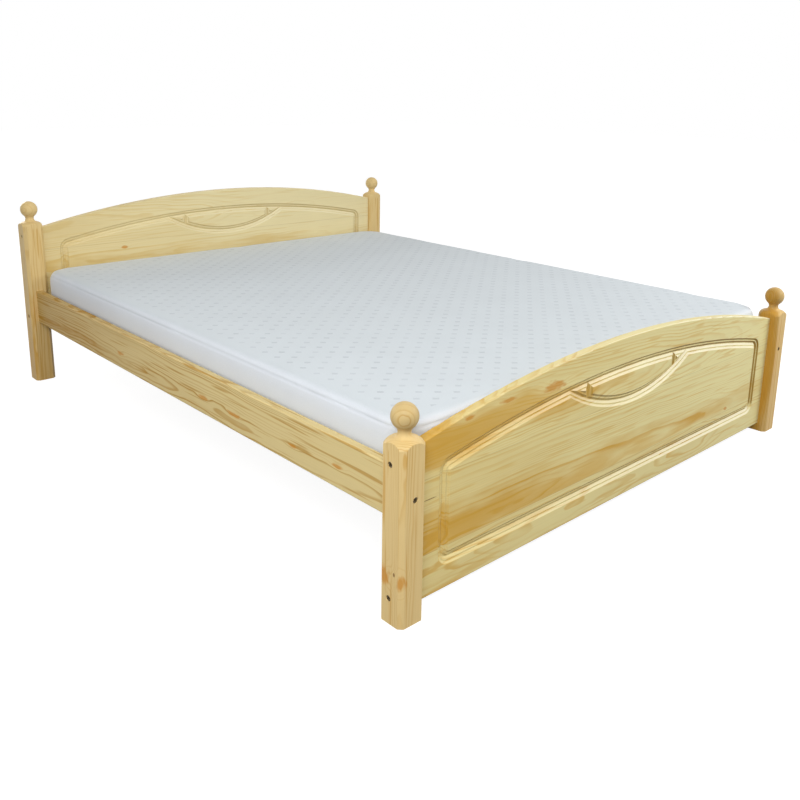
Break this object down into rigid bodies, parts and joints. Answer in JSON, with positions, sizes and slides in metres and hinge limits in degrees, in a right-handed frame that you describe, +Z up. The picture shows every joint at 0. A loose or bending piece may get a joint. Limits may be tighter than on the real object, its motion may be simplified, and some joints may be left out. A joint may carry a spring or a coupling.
{
  "type": "double bed",
  "caption": "Pine double bed with ball-topped posts, arched head and foot panels with a routed frame line, side rails, a slatted base and a lift-off mattress.",
  "frame": {"origin": "on the floor, under the middle of the bed", "axes": "+X to the bed's right side seen from the foot, +Y along the bed towards the head, +Z up"},
  "size_m": [1.71, 2.112, 0.6745],
  "materials": {
    "post_pine": "clear varnished pine, satin",
    "panel_pine": "clear varnished edge-glued pine, satin",
    "rail_pine": "clear varnished pine, satin",
    "frame_pine": "planed pine, matt",
    "slat_pine": "planed pine, matt",
    "mattress_knit": "white knitted cover with small embossed dashes",
    "mattress_foam": "open-cell foam",
    "bolt_bronze": "dark bronze coated steel",
    "nut_zinc": "zinc plated steel",
    "screw_zinc": "yellow zinc plated steel",
    "dowel_beech": "fluted beech"
  },
  "bodies": {
    "frame": {"foot_left_post": "post_pine", "foot_right_post": "post_pine", "head_left_post": "post_pine", "head_right_post": "post_pine", "footboard_panel": "panel_pine", "headboard_panel": "panel_pine", "left_side_rail": "rail_pine", "right_side_rail": "rail_pine", "left_ledger_strip": "frame_pine", "right_ledger_strip": "frame_pine", "center_beam": "frame_pine", "foot_beam_cleat": "frame_pine", "head_beam_cleat": "frame_pine", "center_leg": "frame_pine", "slat_01": "slat_pine", "slat_02": "slat_pine", "slat_03": "slat_pine", "slat_04": "slat_pine", "slat_05": "slat_pine", "slat_06": "slat_pine", "slat_07": "slat_pine", "slat_08": "slat_pine", "slat_09": "slat_pine", "slat_10": "slat_pine", "slat_11": "slat_pine", "slat_12": "slat_pine", "slat_13": "slat_pine", "slat_14": "slat_pine", "panel_bolts": "bolt_bronze", "rail_bolts": "bolt_bronze", "panel_barrel_nuts": "nut_zinc", "rail_barrel_nuts": "nut_zinc", "leg_stud": "nut_zinc", "ledger_screws": "screw_zinc", "slat_screws": "screw_zinc", "cleat_screws": "screw_zinc", "panel_dowels": "dowel_beech", "rail_dowels": "dowel_beech"},
    "mattress": {"mattress_cover": "mattress_knit", "mattress_core": "mattress_foam"}
  },
  "joints": [
    {"name": "mattress_lift", "type": "slide", "parent": "frame", "child": "mattress", "axis": [0, 0, 1], "range_m": [0, 0.43]}
  ]
}
